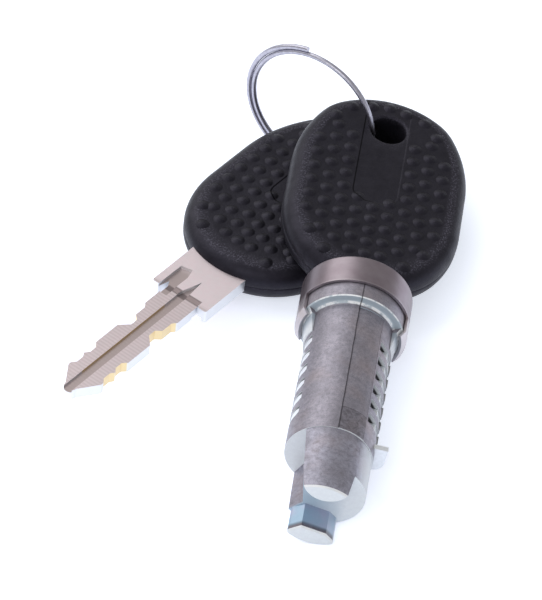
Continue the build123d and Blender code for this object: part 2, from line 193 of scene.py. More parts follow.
class LockHeadSizes(bpy.types.PropertyGroup):
    """Sizes of a key's moulded head, in its own frame: Y along the blade, Z through the thickness."""
    start: length_property("Start", "From the key's stop to the near end of the head", 1.0)
    length: length_property("Length", "Head length", 53.3)
    width: length_property("Width", "Head width", 35.74)
    thickness: length_property("Thickness", "Head thickness", 7.8)
    rim_radius: length_property("Rim radius", "Rounding between a face and the side", 3.2)
    near_length: length_property("Near length", "Length of the rounded end beside the blade", 20.0)
    far_length: length_property("Far length", "Length of the rounded end beside the hole", 22.0)
    near_corner: length_property("Near corner", "Radius of the corner beside the blade", 17.0)
    far_corner: length_property("Far corner", "Radius of the corner beside the hole", 11.0)
    side_turn: FloatProperty(name="Side turn", description="Turn of the long side arcs", unit="ROTATION",
                             default=math.radians(30))
    end_turn: FloatProperty(name="End turn", description="Turn of the end arcs", unit="ROTATION",
                            default=math.radians(35))
    hole: length_property("Hole", "Diameter of the ring hole", 7.3)
    hole_from_end: length_property("Hole from end", "From the far end to the hole's centre", 10.1)
    hole_edge: length_property("Hole edge", "Rounding at the hole's mouths", 0.6)
    dome: length_property("Dome", "Diameter of one raised dot", 2.9)
    dome_height: length_property("Dome height", "Height of one raised dot", 0.5)
    column_pitch: length_property("Column pitch", "Distance between columns of dots", 3.22)
    panel_width: length_property("Panel width", "Width of the plain panel below the hole", 9.1)
    panel_low: length_property("Panel low end", "From the key's stop to the panel's lower end", 22.6)
    panel_corner: length_property("Panel corner", "Radius of the panel's lower corners", 3.0)


class LockColours(bpy.types.PropertyGroup):
    """Colours of the set's finishes."""
    zinc: colour_property("Zinc", "Die-cast zinc", "#a7a2ad")
    zinc_dark: colour_property("Zinc shade", "Darker patches of the casting", "#8a8790")
    passivation: colour_property("Passivation", "Pale film on the end faces", "#f2f7fb")
    # Painted shade with a blue film: it darkens the floor between the prongs, and it is also the lower prong's own
    # film
    blue_film_and_shade: colour_property("Blue film", "Deeper blue film left between the prongs", "#a5c1d6")
    # Painted shade: the greyer film behind the flange stands for the flange's shade
    film_in_flange_shade: colour_property("Shaded film", "Greyer film behind the flange", "#b4c2cc")
    violet_film: colour_property("Violet film", "Violet patches in the blue film", "#b9bfd6")
    warm_film: colour_property("Warm tarnish", "Faint warm patches on the casting", "#a8948e")
    bare_edge: colour_property("Bare edge", "Bright metal along the casting's sharp rims", "#f6f7f9")
    # Painted shade: this dark colour stands for the shade on the walls inside the slots
    slot_painted_shade: colour_property("Slot dirt", "Oil and dust on the walls inside the slots", "#1f1e21")
    # The seam colour darkens the grain's pits and the pad's scuffs, draws the seam's step shadow with its dirt, and
    # paints shade on the lower prong's rounded end
    seam: colour_property("Seam", "Dark line where the mould's halves met", "#3c383d")
    nickel: colour_property("Nickel", "Satin nickel of the face cap", "#897d84")
    nickel_bright: colour_property("Rubbed nickel", "Brighter plating on the cap's side straps", "#d9d4d6")
    blade: colour_property("Nickel silver", "Flat faces of the blades", "#efdfe3")
    blade_side: colour_property("Blade side", "Plated sides of the blades", "#eceef2")
    blade_cut: colour_property("Cut edge", "Freshly cut edges of the blades", "#f2dcae")
    blade_groove: colour_property("Groove", "Floors of the groove and the relief", "#b3a4a2")
    # Painted shade on the ramp where the milled blade meets its shoulder
    blade_step_shade: colour_property("Step", "Darker run-out where the milled blade meets its shoulder", "#837777")
    plastic: colour_property("Black plastic", "Moulded heads", "#0b0a0e")
    plastic_worn: colour_property("Worn plastic", "Rubbed edges of the heads", "#53515c")
    plastic_sheen: colour_property("Plastic sheen", "Tint of the heads' highlights", "#e6e0ff")
    wafer: colour_property("Wafer", "Plated wafers and retainer", "#f1f4f8")
    # Painted shade: this dark colour stands for the shade on the wafers' ends in the slots
    wafer_painted_shade: colour_property("Wafer shade", "Oily ends of the wafers", "#26282c")
    wire: colour_property("Wire", "Spring wire", "#aeacba")
    table: colour_property("Table", "Floor in its shadowed parts", "#eef3fd")


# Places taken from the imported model: the lock's own axes, and the spare key's ring hole with its axis

LOCK_Y = Vector(joint_named("key_slide")["axis"]).normalized()
LOCK_X = Vector(joint_named("wafer_1_slide")["axis"]).normalized()
LOCK_Z = LOCK_X.cross(LOCK_Y).normalized()
SPARE_HOLE = Vector(joint_named("spare_key_hinge")["pos_m"])
SPARE_Z = Vector(joint_named("spare_key_hinge")["axis"]).normalized()


def mesh_points(node):
    """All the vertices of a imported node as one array."""
    mesh = frame["nodes"][node].data
    points = np.empty(len(mesh.vertices) * 3, np.float32)
    mesh.vertices.foreach_get("co", points)
    return points.reshape(-1, 3).astype(float)


def axes_matrix(x_axis, y_axis, z_axis, origin):
    """The matrix that takes a part's own frame to the shared one, from its three axes and its origin there."""
    matrix = Matrix((x_axis, y_axis, z_axis)).transposed().to_4x4()
    matrix.translation = origin
    return matrix


def lock_frame():
    """The lock's own frame, which is the first key's too: the origin is on the axis at the cap's face."""
    return axes_matrix(LOCK_X, LOCK_Y, LOCK_Z, Vector((0, 0, 0)))


def spare_frame():
    """The spare key's frame: Y runs to the hole from the blade's tip, the middle of its farthest points."""
    points = mesh_points("spare_key_blade")
    away = np.linalg.norm(points - np.array(SPARE_HOLE), axis=1)
    tip = Vector(points[away > away.max() - TIP_REACH * MM].mean(0))
    along = SPARE_HOLE - tip
    along = (along - SPARE_Z * along.dot(SPARE_Z)).normalized()
    sizes = bpy.context.scene.lock_head
    hole_y = sizes.start + sizes.length - sizes.hole_from_end
    return axes_matrix(along.cross(SPARE_Z), along, SPARE_Z, SPARE_HOLE - along * hole_y)


# Materials

def add_node(tree, kind, *inputs, **settings):
    """Adds a shader node of one kind. The inputs go into its sockets in order. A setting is a property where its name
    starts with a small letter, and else the input of that name, with _ for a space. An input is given a value, a
    socket, or a node, which stands for its first output."""
    node = tree.nodes.new("ShaderNode" + kind)
    named = []
    for name, value in settings.items():
        if name[0].islower():
            setattr(node, name, value)
        else:
            named.append((node.inputs[name.replace("_", " ")], value))
    in_use = [socket for socket in node.inputs if socket.enabled]
    for socket, value in list(zip(in_use, inputs)) + named:
        if isinstance(value, bpy.types.Node):
            value = next(output for output in value.outputs if output.enabled)
        if isinstance(value, bpy.types.NodeSocket):
            tree.links.new(value, socket)
        else:
            socket.default_value = value
    return node


def new_material(name):
    """An empty material and its tree."""
    material = bpy.data.materials.new(name)
    material.use_nodes = True
    material.node_tree.nodes.clear()
    return material, material.node_tree


def own_place(tree, matrix):
    """Object coordinates turned into a part's own frame, in millimetres."""
    inverse = matrix.inverted()
    texture = add_node(tree, "TexCoord")
    return add_node(tree, "Mapping", texture.outputs["Object"], inverse.translation / MM, inverse.to_euler("XYZ"),
                    (1 / MM, 1 / MM, 1 / MM))


def own_normal(tree, matrix):
    """The surface's normal turned into a part's own frame."""
    texture = add_node(tree, "TexCoord")
    return add_node(tree, "Mapping", texture.outputs["Normal"], Rotation=matrix.inverted().to_euler("XYZ"))


def between(tree, value, limits, soft):
    """1 where the value lies between the two limits, falling to 0 over the soft width beyond each."""
    low, high = limits
    return overlap(tree, add_node(tree, "MapRange", value, low - soft, low),
                   add_node(tree, "MapRange", value, high + soft, high))


def overlap(tree, *masks):
    """Where all of the masks are: their product."""
    shared = masks[0]
    for mask in masks[1:]:
        shared = add_node(tree, "Math", shared, mask, operation="MULTIPLY")
    return shared


def coated(tree, colour, *coats):
    """A colour with coats laid over it in order, each a mask and a colour: below + mask * (coat - below)."""
    for mask, coat in coats:
        colour = add_node(tree, "Mix", mask, colour, coat, data_type="RGBA")
    return colour


def zinc_casting_material(colours, matrix):
    """Die-cast zinc, tumbled: purplish grey with fine mottling where it is rubbed. A pale passivation film is left on
    the faces across the axis, on the side lugs, on the tail's right side and, bluer, between the prongs, where the
    floor under the upper prong also carries painted shade, bluer and darker to its left. Sharp rims are rubbed
    bright, and a dark line marks where the mould's halves met, drawn as the step's painted shadow with dirt in it.
    A low pad beside its end is scuffed, and the walls inside the slots and the rounding at the lower prong's end are
    darkened with painted shade."""
    material, tree = new_material("die_cast_zinc")
    place = own_place(tree, matrix)
    spot = add_node(tree, "SeparateXYZ", place)
    side = spot.outputs["X"]
    height = spot.outputs["Z"]
    depth = add_node(tree, "Math", spot.outputs["Y"], -1.0, operation="MULTIPLY")
    radius = add_node(tree, "VectorMath", add_node(tree, "CombineXYZ", side, height), operation="LENGTH")
    facing = add_node(tree, "SeparateXYZ", own_normal(tree, matrix))
    backwards = add_node(tree, "Math", facing.outputs["Y"], -1.0, operation="MULTIPLY")

    # Mottling 0.9 mm across under clouds of 5 mm, a grain of 0.16 mm, and faint warm patches of 7 mm
    blotches = add_node(tree, "TexNoise", place, Scale=1 / 0.9, Detail=5.0, Roughness=0.7)
    cloud = add_node(tree, "TexNoise", place, Scale=1 / 5.0, Detail=2.0, Roughness=0.5)
    grain = add_node(tree, "TexNoise", place, Scale=1 / 0.16, Detail=3.0, Roughness=0.6)
    warmth = add_node(tree, "TexNoise", place, Scale=1 / 7.0, Detail=2.0, Roughness=0.5)
    patches = overlap(tree, add_node(tree, "MapRange", blotches, 0.36, 0.64, 0.15, 1.0),
                      add_node(tree, "MapRange", cloud, 0.35, 0.6, 0.55, 1.0))
    pits = add_node(tree, "MapRange", grain, 0.35, 0.5, 0.3, 0.0)
    warm = add_node(tree, "MapRange", warmth, 0.5, 0.75, 0.0, 0.3)
    on_tail = between(tree, depth, TAIL_DEPTHS, 0.1)

    # The film: on faces that look backwards, on the tail's right side and on the lugs
    across = add_node(tree, "MapRange", backwards, 0.3, 0.6)
    tail_right = overlap(tree, on_tail, add_node(tree, "MapRange", facing.outputs["X"], 0.6, 0.95, 0.0, 0.9))
    on_lugs = overlap(tree, between(tree, depth, LUG_DEPTHS, 0.4), between(tree, radius, LUG_RADII, 0.1), 0.8)
    film = add_node(tree, "Math", across, tail_right, operation="MAXIMUM")
    film = add_node(tree, "Math", film, on_lugs, operation="MAXIMUM")
    film = overlap(tree, film, add_node(tree, "MapRange", blotches, 0.3, 0.75, 1.0, 0.82))
    # Painted shade: the floor between the prongs is drawn bluer and darker, most on its left, as the shade under the
    # upper prong
    drive_floor_shade = overlap(tree, between(tree, depth, DRIVE_FLOOR_DEPTHS, 0.2),
                          between(tree, side, DRIVE_FLOOR_SIDES, 6.0), 0.75)
    # Painted shade: behind the flange the film is drawn greyer, as the flange's shade
    pale = coated(tree, colours.passivation,
                  (between(tree, depth, FLANGE_BACK_DEPTHS, 1.5), colours.film_in_flange_shade),
                  (drive_floor_shade, colours.blue_film_and_shade))

    # The lower prong's blue film with violet patches, and a band of painted shade on the rounding at its end
    lower_prong = between(tree, height, LOWER_PRONG, 1.0)
    on_prong = overlap(tree, between(tree, depth, PRONG_DEPTHS, 0.5), lower_prong, 0.85)
    prong_film = coated(tree, colours.blue_film_and_shade, (add_node(tree, "MapRange", cloud, 0.4, 0.65), colours.violet_film))
    prong_end_shade = overlap(tree, between(tree, depth, PRONG_RIM_DEPTHS, 0.5),
                        between(tree, backwards, (-1.0, 0.3), 0.1), lower_prong, 0.55)

    # Bright wear in chips of 1.6 mm on rims that lean backwards
    chips = add_node(tree, "TexNoise", place, Scale=1 / 1.6, Detail=3.0, Roughness=0.6)
    rim = overlap(tree, between(tree, backwards, (0.5, 0.85), 0.1),
                  add_node(tree, "MapRange", chips, 0.42, 0.56, 0.1, 1.0))

    # The mould's seam wanders a little either way; its dark line is the step's painted shadow with dirt in it. The
    # pad lies between the seam and the right slots
    wander = add_node(tree, "TexNoise", place, Scale=1 / 2.5, Detail=4.0, Roughness=0.6)
    seam_side = add_node(tree, "MapRange", wander, 0.0, 1.0, SEAM_PLACE - SEAM_WANDER,
                         SEAM_PLACE + SEAM_WANDER)
    beside = add_node(tree, "Math", side, seam_side, operation="SUBTRACT")
    seam = overlap(tree, between(tree, beside, SEAM_LINE, 0.1), between(tree, height, UPPER_HALF, 1.0),
                   between(tree, depth, SEAM_DEPTHS, 0.1), 0.8)
    right_top = overlap(tree, between(tree, side, (SEAM_PLACE, PAD_REACH), 0.1),
                        between(tree, height, PAD_HEIGHTS, 0.5))
    pad_start = between(tree, depth, PAD_START, 0.12)
    scuffs = add_node(tree, "TexNoise", place, Scale=1 / 1.5, Detail=5.0, Roughness=0.6, Distortion=1.5)
    on_pad = overlap(tree, between(tree, depth, PAD_DEPTHS, 0.05), right_top,
                     add_node(tree, "MapRange", scuffs, 0.38, 0.62, 0.5, 0.1))
    scuffed = add_node(tree, "Math", overlap(tree, pad_start, right_top, 0.75), on_pad, operation="MAXIMUM")
    # Painted shade darkens the walls inside the slots
    slot_shade_mask = overlap(tree, between(tree, depth, SLOT_DEPTHS, 0.1),
                       between(tree, radius, SLOT_WALL_RADII, 0.25), 0.95)

    body = coated(tree, colours.zinc_dark, (patches, colours.zinc), (pits, colours.seam),
                  (overlap(tree, on_tail, patches, 0.3), colours.violet_film), (warm, colours.warm_film),
                  (on_prong, prong_film), (prong_end_shade, colours.seam), (film, pale), (rim, colours.bare_edge),
                  (seam, colours.seam), (scuffed, colours.seam), (slot_shade_mask, colours.slot_painted_shade))
    fine = add_node(tree, "Bump", Strength=0.6, Distance=0.02 * MM, Height=grain)
    mottled = add_node(tree, "Bump", Strength=0.35, Distance=0.03 * MM, Height=blotches, Normal=fine)
    shader = add_node(tree, "BsdfPrincipled", Base_Color=body,
                      Metallic=add_node(tree, "MapRange", film, 0.0, 1.0, 0.75, 0.05),
                      Roughness=add_node(tree, "MapRange", blotches, 0.3, 0.7, 0.5, 0.38), Normal=mottled)
    add_node(tree, "OutputMaterial", shader)
    return material


def nickel_cap_material(colours, matrix):
    """Satin nickel plate over pressed steel: a brownish cast with faint turning lines round the rim, and brighter
    on the two side straps."""
    material, tree = new_material("satin_nickel")
    place = own_place(tree, matrix)
    depth = add_node(tree, "Math", add_node(tree, "SeparateXYZ", place).outputs["Y"], -1.0, operation="MULTIPLY")

    # Lines a sixth of a millimetre wide run round the rim, and clouds are 3 mm across
    lines = add_node(tree, "Mapping", place, Scale=(0.25, 6.0, 0.25))
    streaks = add_node(tree, "TexNoise", lines, Scale=1.0, Detail=4.0, Roughness=0.6)
    cloud = add_node(tree, "TexNoise", place, Scale=1 / 3.0, Detail=3.0, Roughness=0.5)
    strap = overlap(tree, between(tree, depth, STRAP_DEPTHS, 1.2), 0.7)
    body = coated(tree, colours.nickel,
                  (add_node(tree, "MapRange", cloud, 0.3, 0.75, 0.0, 0.5), towards_grey(colours.nickel, 0.15, 1.0)),
                  (strap, colours.nickel_bright))
    shader = add_node(tree, "BsdfPrincipled", Base_Color=body, Metallic=1.0,
                      Roughness=add_node(tree, "MapRange", streaks, 0.3, 0.7, 0.3, 0.4),
                      Normal=add_node(tree, "Bump", Strength=0.35, Distance=0.01 * MM, Height=streaks))
    add_node(tree, "OutputMaterial", shader)
    return material


def nickel_silver_material(colours, matrix, name):
    """Milled nickel silver: pinkish flats with fine cross-milling lines, bright plated sides, yellower cuts where
    the plating is cut through, and dull floors in the groove and the relief. The ramp down from the shoulder is drawn
    darker as painted shade."""
    material, tree = new_material(name)
    place = own_place(tree, matrix)
    spot = add_node(tree, "SeparateXYZ", place)
    facing = add_node(tree, "SeparateXYZ", own_normal(tree, matrix))
    depth = add_node(tree, "Math", spot.outputs["Y"], -1.0, operation="MULTIPLY")
    height = add_node(tree, "Math", spot.outputs["Z"], operation="ABSOLUTE")
    off_middle = add_node(tree, "Math", spot.outputs["X"], operation="ABSOLUTE")
    steepness = add_node(tree, "Math", facing.outputs["Z"], operation="ABSOLUTE")

    # Clouds of 1.2 mm; milling marks 0.8 mm apart, coarser than the real ones so that they show
    cloud = add_node(tree, "TexNoise", place, Scale=1 / 1.2, Detail=4.0, Roughness=0.6)
    mill = add_node(tree, "TexWave", place, wave_type="BANDS", bands_direction="Y", Scale=0.4, Distortion=0.8,
                    Detail=2.0)
    marks = overlap(tree, mill.outputs["Fac"], add_node(tree, "MapRange", depth, *MILLED_DEPTHS, 0.0, 0.6))
    # Painted shade: the ramp down from the shoulder to the milled blade is drawn darker
    step = overlap(tree, between(tree, depth, STEP_DEPTHS, 0.3), between(tree, spot.outputs["X"], BLADE_SIDES, 0.05))
    face = coated(tree, colours.blade,
                  (add_node(tree, "MapRange", cloud, 0.35, 0.7), towards_grey(colours.blade, 0.25, 0.9)),
                  (add_node(tree, "MapRange", depth, *MILLED_DEPTHS, 0.0, 0.3), colours.blade_groove),
                  (overlap(tree, marks, 0.45), colours.blade_groove),
                  (add_node(tree, "MapRange", height, *MILLED_FACE, 0.9, 0.0), colours.blade_groove),
                  (step, colours.blade_step_shade))
    cut_in = overlap(tree, add_node(tree, "MapRange", off_middle, *CUT_SIDE, 1.0, 0.0),
                     between(tree, depth, BITTED_DEPTHS, 0.5))
    edge = coated(tree, colours.blade_side, (cut_in, colours.blade_cut))
    body = coated(tree, face, (add_node(tree, "MapRange", steepness, 0.35, 0.8, 1.0, 0.0), edge))
    shader = add_node(tree, "BsdfPrincipled", Base_Color=body, Metallic=0.85,
                      Roughness=add_node(tree, "MapRange", cloud, 0.3, 0.7, 0.4, 0.3),
                      Normal=add_node(tree, "Bump", Strength=0.4, Distance=0.02 * MM, Height=marks))
    add_node(tree, "OutputMaterial", shader)
    return material


def panel_distance(tree, spot, sizes):
    """Distance in mm from the plain panel's border, below zero inside: a strip with round lower corners.
    With dx = |x| - (half width - corner) and dy = (low end + corner) - y it is
    length(max(dx, 0), max(dy, 0)) + min(max(dx, dy), 0) - corner."""
    corner = sizes.panel_corner / MM
    half = sizes.panel_width / MM / 2
    off_middle = add_node(tree, "Math", spot.outputs["X"], PATTERN_SHIFT, operation="SUBTRACT")
    sideways = add_node(tree, "Math", off_middle, operation="ABSOLUTE")
    dx = add_node(tree, "Math", sideways, half - corner, operation="SUBTRACT")
    dy = add_node(tree, "Math", sizes.panel_low / MM + corner, spot.outputs["Y"], operation="SUBTRACT")
    beyond = add_node(tree, "VectorMath", add_node(tree, "CombineXYZ", dx, dy), (0, 0, 0), operation="MAXIMUM")
    outside = add_node(tree, "VectorMath", beyond, operation="LENGTH")
    nearest = add_node(tree, "Math", dx, dy, operation="MAXIMUM")
    inside = add_node(tree, "Math", nearest, 0.0, operation="MINIMUM")
    total = add_node(tree, "Math", outside, inside, operation="ADD")
    return add_node(tree, "Math", total, corner, operation="SUBTRACT")


def black_plastic_material(colours, matrix, name):
    """Moulded black polypropylene, of index 1.49, with a fine spark-eroded grain; rubbed lighter on its high spots
    and edges. A shallow step runs round the plain panel, and painted shade draws a dark line along it."""
    material, tree = new_material(name)
    place = own_place(tree, matrix)
    spot = add_node(tree, "SeparateXYZ", place)
    border = panel_distance(tree, spot, bpy.context.scene.lock_head)

    # A grain of 0.4 mm, coarser than the real one so that it shows, under clouds of 2.5 mm; wear in specks of 0.35 mm
    grain = add_node(tree, "TexNoise", place, Scale=1 / 0.4, Detail=3.0, Roughness=0.6)
    cloud = add_node(tree, "TexNoise", place, Scale=1 / 2.5, Detail=4.0, Roughness=0.6)
    specks = add_node(tree, "TexNoise", place, Scale=1 / 0.35, Detail=2.0, Roughness=0.7)
    rub = add_node(tree, "Attribute", attribute_name="rubbed", attribute_type="GEOMETRY")
    worn = overlap(tree, rub.outputs["Fac"], add_node(tree, "MapRange", specks, 0.5, 0.66, 0.1, 1.0))

    # The step's dark line is painted shade, strongest on its left
    line = overlap(tree, between(tree, border, PANEL_LINE, 0.12),
                   add_node(tree, "MapRange", spot.outputs["X"], *PANEL_LINE_FADE, 0.75, 0.15))
    body = coated(tree, colours.plastic,
                  (add_node(tree, "MapRange", cloud, 0.3, 0.8, 0.0, 0.12), colours.plastic_worn),
                  (worn, colours.plastic_worn), (line, grey(0.0)))
    stepped = add_node(tree, "Bump", Strength=1.0, Distance=0.1 * MM,
                       Height=add_node(tree, "MapRange", border, *PANEL_STEP))
    grained = add_node(tree, "Bump", Strength=0.7, Distance=0.07 * MM, Height=grain, Normal=stepped)
    shader = add_node(tree, "BsdfPrincipled", Base_Color=body,
                      Roughness=add_node(tree, "MapRange", cloud, 0.3, 0.7, 0.5, 0.4),
                      IOR=1.49, Specular_IOR_Level=add_node(tree, "MapRange", line, 0.0, 1.0, 0.34, 0.0),
                      Specular_Tint=colours.plastic_sheen, Normal=grained)
    add_node(tree, "OutputMaterial", shader)
    return material


def wafer_material(colours, matrix):
    """Stamped plates, plated bright. Painted shade darkens their winged upper ends and their right ends, as the shade
    in the slots, and their left ends outside an oval in the middle of each, at (y / half thickness) ** 2 + (z / half
    height) ** 2 = 1."""
    material, tree = new_material("plated_wafer")
    place = own_place(tree, matrix)
    spot = add_node(tree, "SeparateXYZ", place)
    depth = add_node(tree, "Math", spot.outputs["Y"], -1.0, operation="MULTIPLY")

    # Clouds are 0.6 mm across
    cloud = add_node(tree, "TexNoise", place, Scale=1 / 0.6, Detail=3.0, Roughness=0.6)
    # Painted shade on the wings, on the left ends outside the oval and on the right ends
    winged = add_node(tree, "MapRange", spot.outputs["Z"], *WAFER_WING, 0.0, 0.9)
    place_in_row = add_node(tree, "MapRange", depth, WAFER_FIRST - WAFER_PITCH / 2, WAFER_FIRST + WAFER_PITCH / 2,
                            clamp=False)
    reach = WAFER_PITCH / 2 / WAFER_BRIGHT_HALF[0]
    beside = add_node(tree, "MapRange", add_node(tree, "Math", place_in_row, operation="FRACT"), 0.0, 1.0,
                      -reach, reach)
    upwards = add_node(tree, "MapRange", spot.outputs["Z"], WAFER_BRIGHT_RISE,
                       WAFER_BRIGHT_RISE + WAFER_BRIGHT_HALF[1], clamp=False)
    oval = add_node(tree, "VectorMath", add_node(tree, "CombineXYZ", beside, upwards), operation="LENGTH")
    left_end_shade = overlap(tree, between(tree, spot.outputs["X"], WAFER_LEFT_END, 0.1),
                       add_node(tree, "MapRange", oval, 0.86, 1.0), 0.9)
    right_end_shade = overlap(tree, between(tree, spot.outputs["X"], WAFER_RIGHT_END, 0.1),
                        between(tree, depth, WAFER_DEPTHS, 0.1), 0.6)
    body = coated(tree, towards_grey(colours.wafer, 0.1, 0.3),
                  (add_node(tree, "MapRange", cloud, 0.35, 0.65), colours.wafer), (winged, colours.wafer_painted_shade),
                  (left_end_shade, colours.wafer_painted_shade), (right_end_shade, colours.wafer_painted_shade))
    shader = add_node(tree, "BsdfPrincipled", Base_Color=body, Metallic=0.75,
                      Roughness=add_node(tree, "MapRange", cloud, 0.3, 0.7, 0.4, 0.32),
                      Normal=add_node(tree, "Bump", Strength=0.15, Distance=0.02 * MM, Height=cloud))
    add_node(tree, "OutputMaterial", shader)
    return material


def spring_wire_material(colours, matrix):
    """Drawn spring steel: bright, with a bluish grey cast in clouds of 0.8 mm."""
    material, tree = new_material("spring_steel")
    cloud = add_node(tree, "TexNoise", own_place(tree, matrix), Scale=1 / 0.8, Detail=4.0, Roughness=0.6)
    body = coated(tree, colours.wire,
                  (add_node(tree, "MapRange", cloud, 0.35, 0.7), towards_grey(colours.wire, 0.2, 1.0)))
    shader = add_node(tree, "BsdfPrincipled", Base_Color=body, Metallic=1.0,
                      Roughness=add_node(tree, "MapRange", cloud, 0.3, 0.7, 0.4, 0.3))
    add_node(tree, "OutputMaterial", shader)
    return material


def finish_nodes(names, material):
    """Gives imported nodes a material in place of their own."""
    for name in names:
        piece = frame["nodes"][name]
        piece.data.materials.clear()
        piece.data.materials.append(material)


# Surfaces

def ring_faces(rings, columns, closed):
    """Quads between neighbours of a grid of rings whose points are numbered ring by ring. Each ring closes on itself,
    and the last joins the first where the grid is closed too. The quads face the side from which the rings run
    anticlockwise and widen."""
    ring = np.arange(rings if closed else rings - 1)[:, None]
    column = np.arange(columns)[None, :]
    next_ring = (ring + 1) % rings
    next_column = (column + 1) % columns
    quads = np.stack([ring * columns + column, next_ring * columns + column,
                      next_ring * columns + next_column, ring * columns + next_column], -1)
    return quads.reshape(-1, 4)


def mesh_piece(name, points, faces, material, matrix, rubbed):
    """A smooth mesh from points in a part's own frame, with how far each point is rubbed as an attribute."""
    turn = np.array(matrix.to_3x3())
    placed = points @ turn.T + np.array(matrix.translation)
    mesh = bpy.data.meshes.new(name)
    mesh.from_pydata(placed.tolist(), [], faces)
    mesh.polygons.foreach_set("use_smooth", np.ones(len(mesh.polygons), bool))
    layer = mesh.attributes.new("rubbed", "FLOAT", "POINT")
    layer.data.foreach_set("value", rubbed.astype(np.float32))
    mesh.materials.append(material)
    mesh.update()
    piece = bpy.data.objects.new(name, mesh)
    bpy.context.scene.collection.objects.link(piece)
    return piece


def end_radii(half, length, corner, side, end):
    """Side and end radii that join a straight side to the middle of a rounded end through a corner arc. The steps
    of the three arcs add up to the half width across and to the length along: two equations for the two radii."""
    across = half - corner * (math.cos(side) - math.sin(end))
    along = length - corner * (math.cos(end) - math.sin(side))
    scale = (1 - math.cos(side)) * (1 - math.cos(end)) - math.sin(side) * math.sin(end)
    side_r = (across * (1 - math.cos(end)) - along * math.sin(end)) / scale
    end_r = (along * (1 - math.cos(side)) - across * math.sin(side)) / scale
    return side_r, end_r


def quarter_turn(half, length, corner, side, end):
    """Points and outward normals from the straight side to the middle of an end: three tangent arcs.
    On each arc the point moves on by the radius times the change of the normal's angle, so
    x = centre + radius * cos(angle) and y = centre + radius * sin(angle), with the centre stepping at each joint."""
    side_r, end_r = end_radii(half, length, corner, side, end)
    centre = np.array([half - side_r, 0.0])
    angle = 0.0
    points = []
    normals = []
    middle = math.pi / 2 - side - end
    for radius, turn, following in ((side_r, side, corner), (corner, middle, end_r), (end_r, end, 0)):
        count = max(3, int(radius * turn / (OUTLINE_STEP * MM)))
        angles = angle + turn * np.arange(count) / count
        direction = np.stack([np.cos(angles), np.sin(angles)], 1)
        points.append(centre + radius * direction)
        normals.append(direction)
        angle += turn
        heading = np.array([math.cos(angle), math.sin(angle)])
        centre = centre + (radius - following) * heading
    points.append(np.array([[0.0, length]]))
    normals.append(np.array([[0.0, 1.0]]))
    return np.concatenate(points), np.concatenate(normals)


def head_outline(sizes):
    """The head's outline seen from above, anticlockwise from the lower right, with its outward normals: a flipped
    quarter turn at the blade's end, a straight side and a quarter turn at the hole's end, mirrored to the left."""
    half = sizes.width / 2
    turns = (sizes.side_turn, sizes.end_turn)
    near, near_normal = quarter_turn(half, sizes.near_length, sizes.near_corner, *turns)
    far, far_normal = quarter_turn(half, sizes.far_length, sizes.far_corner, *turns)
    near_y = sizes.start + sizes.near_length
    far_y = sizes.start + sizes.length - sizes.far_length
    flip = np.array([1, -1])
    mirror = np.array([-1, 1])
    near = near[::-1] * flip + (0, near_y)
    near_normal = near_normal[::-1] * flip
    far = far + (0, far_y)
    straight_y = np.arange(near_y, far_y, OUTLINE_STEP * MM)[1:-1]
    straight = np.stack([np.full_like(straight_y, half), straight_y], 1)
    sideways = np.tile([1.0, 0.0], (len(straight_y), 1))
    right = np.concatenate([near, straight, far])
    right_normal = np.concatenate([near_normal, sideways, far_normal])
    left = right[::-1][1:-1] * mirror
    left_normal = right_normal[::-1][1:-1] * mirror
    return np.concatenate([right, left]), np.concatenate([right_normal, left_normal])


def head_shell(sizes):
    """The head's closed skin: the outline carried round a section that starts in the hole, crosses the upper face,
    turns down over the rim, dips at the parting line, and comes back over the lower face to the hole.
    Rim points lie on outline - inset * normal, with inset = r - r sin(a) and height = z - r + r cos(a).
    Face points lie between the inset outline and the hole's mouth, on straight lines from the hole's centre."""
    outline, normal = head_outline(sizes)
    half = sizes.thickness / 2
    rim = sizes.rim_radius
    hole_r = sizes.hole / 2
    edge = sizes.hole_edge
    centre = np.array([0.0, sizes.start + sizes.length - sizes.hole_from_end])
    inset = outline - rim * normal
    ray = inset - centre
    ray /= np.linalg.norm(ray, axis=1)[:, None]
    rows = []
    heights = []
    rubbed = []
    for share in np.linspace(0, 1, HOLE_ROWS)[:-1]:
        rows.append(centre + hole_r * ray)
        heights.append(share * (half - edge))
        rubbed.append(0.0)
    for angle in np.linspace(0, math.pi / 2, MOUTH_ROWS):
        rows.append(centre + (hole_r + edge - edge * math.cos(angle)) * ray)
        heights.append(half - edge + edge * math.sin(angle))
        rubbed.append(MOUTH_WEAR)
    start = rows[-1]
    for share in np.linspace(0, 1, FACE_ROWS)[1:]:
        rows.append(start + share * (inset - start))
        heights.append(half)
        rubbed.append(0.0 if share < 1 else 1.0)
    for angle in np.linspace(0, math.pi / 2, RIM_ROWS)[1:]:
        rows.append(outline - (rim - rim * math.sin(angle)) * normal)
        heights.append(half - rim + rim * math.cos(angle))
        rubbed.append(math.exp(-((angle - RIM_WEAR[0]) / RIM_WEAR[1]) ** 2))
    lip = PARTING_LIP * MM
    for inward, height in PARTING_DIP:
        rows.append(outline - inward * lip * normal)
        heights.append(height * lip)
        rubbed.append(PARTING_WEAR)
    upper = len(rows)
    order = list(range(upper)) + list(range(upper - 2, 0, -1))
    sign = [1] * upper + [-1] * (upper - 2)
    grid = np.stack([np.concatenate([rows[i], np.full((len(outline), 1), heights[i] * s)], 1)
                     for i, s in zip(order, sign)])
    wear = np.repeat(np.array(rubbed)[order], len(outline))
    return grid.reshape(-1, 3), ring_faces(len(order), len(outline), True), wear


def outline_distance(points, outline):
    """Distance of each point to the nearest outline point, as one array over all pairs."""
    return np.sqrt(((points[:, None, :] - outline[None, :, :]) ** 2).sum(-1)).min(1)


